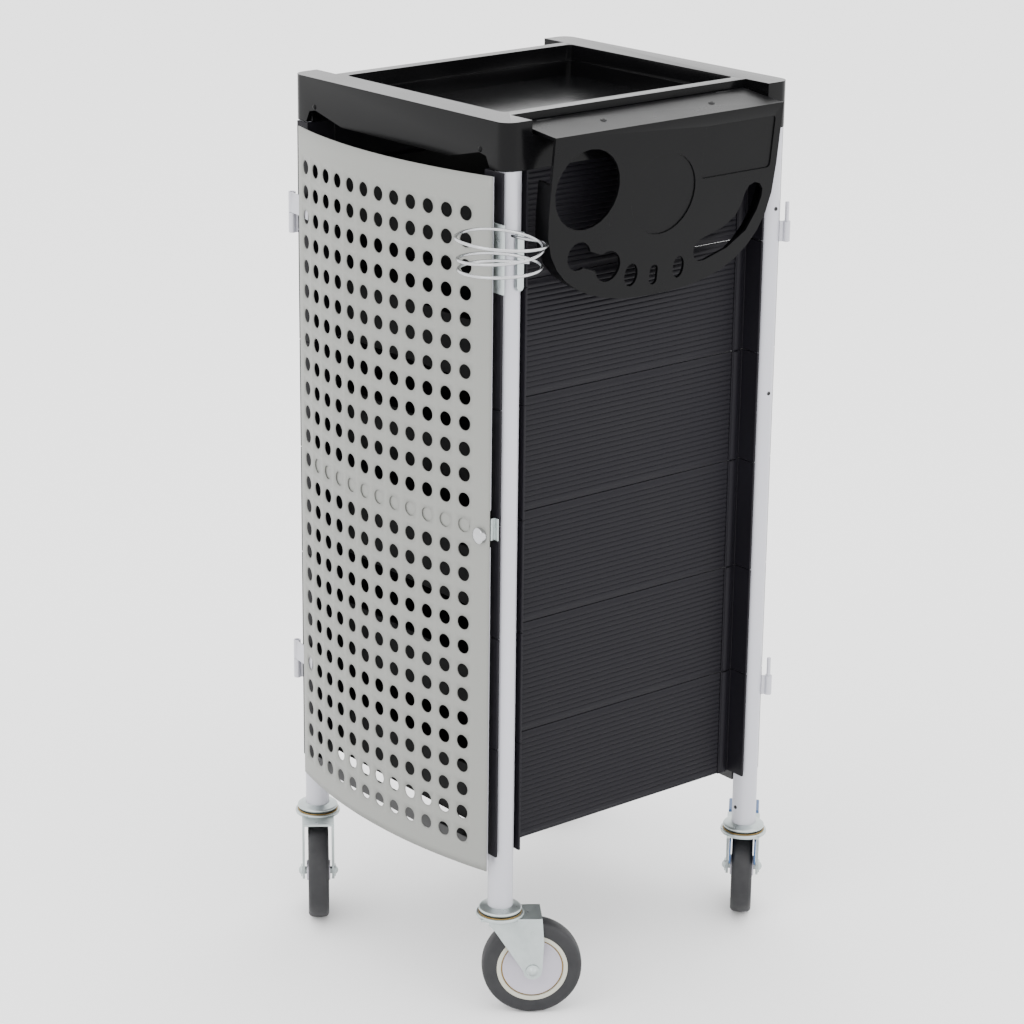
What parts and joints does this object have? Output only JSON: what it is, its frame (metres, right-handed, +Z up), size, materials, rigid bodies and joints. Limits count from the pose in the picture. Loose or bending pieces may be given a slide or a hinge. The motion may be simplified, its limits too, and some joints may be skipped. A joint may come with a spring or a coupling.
{
  "type": "salon roller trolley",
  "caption": "Tall wheeled salon trolley with a moulded tray on top, curved silver door, sliding drawers, fold-up tool holder and a wire hair-dryer coil.",
  "frame": {"origin": "on the floor, under the middle of the whole trolley's bounding box", "axes": "+Z up, -Y out of the curved door, +X out of the side that carries the tool holder"},
  "size_m": [0.4596, 0.5082, 0.9035],
  "materials": {
    "moulded_plastic": "black, fine grain, satin sheen on top faces",
    "drawer_plastic": "black, smooth",
    "panel_plastic": "black, fine leather grain",
    "rail_paint": "black paint",
    "tube_silver": "silver paint, satin",
    "door_silver": "silver-grey paint, perforated sheet",
    "wheel_rubber": "grey-black tread on a lavender-grey hub",
    "blue_plastic": "dull blue",
    "chrome_plate": "bright plate",
    "zinc_plate": "bright zinc"
  },
  "bodies": {
    "frame": {"top_tray": "moulded_plastic", "post_front_left": "tube_silver", "post_front_right": "tube_silver", "post_rear_left": "tube_silver", "post_rear_right": "tube_silver", "side_module_left_1": "moulded_plastic", "side_module_left_2": "moulded_plastic", "side_module_left_3": "moulded_plastic", "side_module_left_4": "moulded_plastic", "side_module_left_5": "moulded_plastic", "side_module_left_6": "moulded_plastic", "side_module_right_1": "moulded_plastic", "side_module_right_2": "moulded_plastic", "side_module_right_3": "moulded_plastic", "side_module_right_4": "moulded_plastic", "side_module_right_5": "moulded_plastic", "side_module_right_6": "moulded_plastic", "bottom_rail_front": "rail_paint", "bottom_rail_rear": "rail_paint", "hinge_bracket_front_lower": "zinc_plate", "hinge_bracket_front_upper": "zinc_plate", "hinge_bracket_rear_lower": "zinc_plate", "hinge_bracket_rear_upper": "zinc_plate", "lock_strike": "zinc_plate", "dryer_coil": "chrome_plate", "coil_clamp_plate": "zinc_plate", "coil_mount_bar": "zinc_plate", "tool_hinge_rod": "chrome_plate", "caster_stem_front_left": "zinc_plate", "caster_stem_front_right": "zinc_plate", "caster_stem_rear_left": "zinc_plate", "caster_stem_rear_right": "zinc_plate"},
    "door": {"door_panel": "door_silver", "door_crossbar": "door_silver", "door_leaf_lower": "zinc_plate", "door_leaf_upper": "zinc_plate"},
    "door_lock_body": {"door_lock": "chrome_plate"},
    "tool_holder": {"tool_panel": "panel_plastic"},
    "drawer_1_body": {"drawer_1": "drawer_plastic"},
    "drawer_2_body": {"drawer_2": "drawer_plastic"},
    "drawer_3_body": {"drawer_3": "drawer_plastic"},
    "drawer_4_body": {"drawer_4": "drawer_plastic"},
    "drawer_5_body": {"drawer_5": "drawer_plastic"},
    "drawer_6_body": {"drawer_6": "drawer_plastic"},
    "swivel_front_left": {"fork_front_left": "zinc_plate", "axle_front_left": "zinc_plate"},
    "wheel_front_left_body": {"wheel_front_left": "wheel_rubber"},
    "swivel_front_right": {"fork_front_right": "zinc_plate", "axle_front_right": "zinc_plate"},
    "wheel_front_right_body": {"wheel_front_right": "wheel_rubber"},
    "swivel_rear_left": {"fork_rear_left": "zinc_plate", "axle_rear_left": "zinc_plate"},
    "wheel_rear_left_body": {"wheel_rear_left": "wheel_rubber"},
    "swivel_rear_right": {"fork_rear_right": "zinc_plate", "axle_rear_right": "zinc_plate"},
    "wheel_rear_right_body": {"wheel_rear_right": "wheel_rubber"},
    "brake_rear_left_body": {"brake_rear_left": "blue_plastic"},
    "brake_rear_right_body": {"brake_rear_right": "blue_plastic"}
  },
  "joints": [
    {"name": "door_hinge", "type": "hinge", "parent": "frame", "child": "door", "pos_m": [-0.18592, -0.17737, 0.5], "axis": [0, 0, -1], "range_deg": [0, 170]},
    {"name": "door_lock_turn", "type": "hinge", "parent": "door", "child": "door_lock_body", "pos_m": [0.13118, -0.18308, 0.507], "axis": [0, -1, 0], "range_deg": [0, 90]},
    {"name": "tool_holder_fold", "type": "hinge", "parent": "frame", "child": "tool_holder", "pos_m": [0.12218, 0.00392, 0.893], "axis": [0, -1, 0], "range_deg": [0, 96]},
    {"name": "drawer_1_slide", "type": "slide", "parent": "frame", "child": "drawer_1_body", "axis": [0, 1, 0], "range_m": [0, 0.25]},
    {"name": "drawer_2_slide", "type": "slide", "parent": "frame", "child": "drawer_2_body", "axis": [0, 1, 0], "range_m": [0, 0.25]},
    {"name": "drawer_3_slide", "type": "slide", "parent": "frame", "child": "drawer_3_body", "axis": [0, 1, 0], "range_m": [0, 0.25]},
    {"name": "drawer_4_slide", "type": "slide", "parent": "frame", "child": "drawer_4_body", "axis": [0, 1, 0], "range_m": [0, 0.25]},
    {"name": "drawer_5_slide", "type": "slide", "parent": "frame", "child": "drawer_5_body", "axis": [0, 1, 0], "range_m": [0, 0.25]},
    {"name": "drawer_6_slide", "type": "slide", "parent": "frame", "child": "drawer_6_body", "axis": [0, 1, 0], "range_m": [0, 0.25]},
    {"name": "swivel_front_left_turn", "type": "hinge", "parent": "frame", "child": "swivel_front_left", "pos_m": [-0.17432, -0.16108, 0.1], "axis": [0, 0, 1], "continuous": true},
    {"name": "wheel_front_left_spin", "type": "hinge", "parent": "swivel_front_left", "child": "wheel_front_left_body", "pos_m": [-0.14817, -0.17952, 0.05], "axis": [0.5764, 0.8171, 0], "continuous": true},
    {"name": "swivel_front_right_turn", "type": "hinge", "parent": "frame", "child": "swivel_front_right", "pos_m": [0.13568, -0.16108, 0.1], "axis": [0, 0, 1], "continuous": true},
    {"name": "wheel_front_right_spin", "type": "hinge", "parent": "swivel_front_right", "child": "wheel_front_right_body", "pos_m": [0.15412, -0.13493, 0.05], "axis": [-0.8171, 0.5764, 0], "continuous": true},
    {"name": "swivel_rear_left_turn", "type": "hinge", "parent": "frame", "child": "swivel_rear_left", "pos_m": [-0.17432, 0.16892, 0.1], "axis": [0, 0, 1], "continuous": true},
    {"name": "wheel_rear_left_spin", "type": "hinge", "parent": "swivel_rear_left", "child": "wheel_rear_left_body", "pos_m": [-0.18935, 0.19718, 0.05], "axis": [-0.8829, -0.4695, 0], "continuous": true},
    {"name": "swivel_rear_right_turn", "type": "hinge", "parent": "frame", "child": "swivel_rear_right", "pos_m": [0.13568, 0.16892, 0.1], "axis": [0, 0, 1], "continuous": true},
    {"name": "wheel_rear_right_spin", "type": "hinge", "parent": "swivel_rear_right", "child": "wheel_rear_right_body", "pos_m": [0.11281, 0.19131, 0.05], "axis": [-0.6997, -0.7145, 0], "continuous": true},
    {"name": "brake_rear_left_press", "type": "hinge", "parent": "swivel_rear_left", "child": "brake_rear_left_body", "pos_m": [-0.18371, 0.18658, 0.097], "axis": [-0.8829, -0.4695, 0], "range_deg": [0, 6]},
    {"name": "brake_rear_right_press", "type": "hinge", "parent": "swivel_rear_right", "child": "brake_rear_right_body", "pos_m": [0.12139, 0.18292, 0.097], "axis": [-0.6997, -0.7145, 0], "range_deg": [0, 6]}
  ]
}
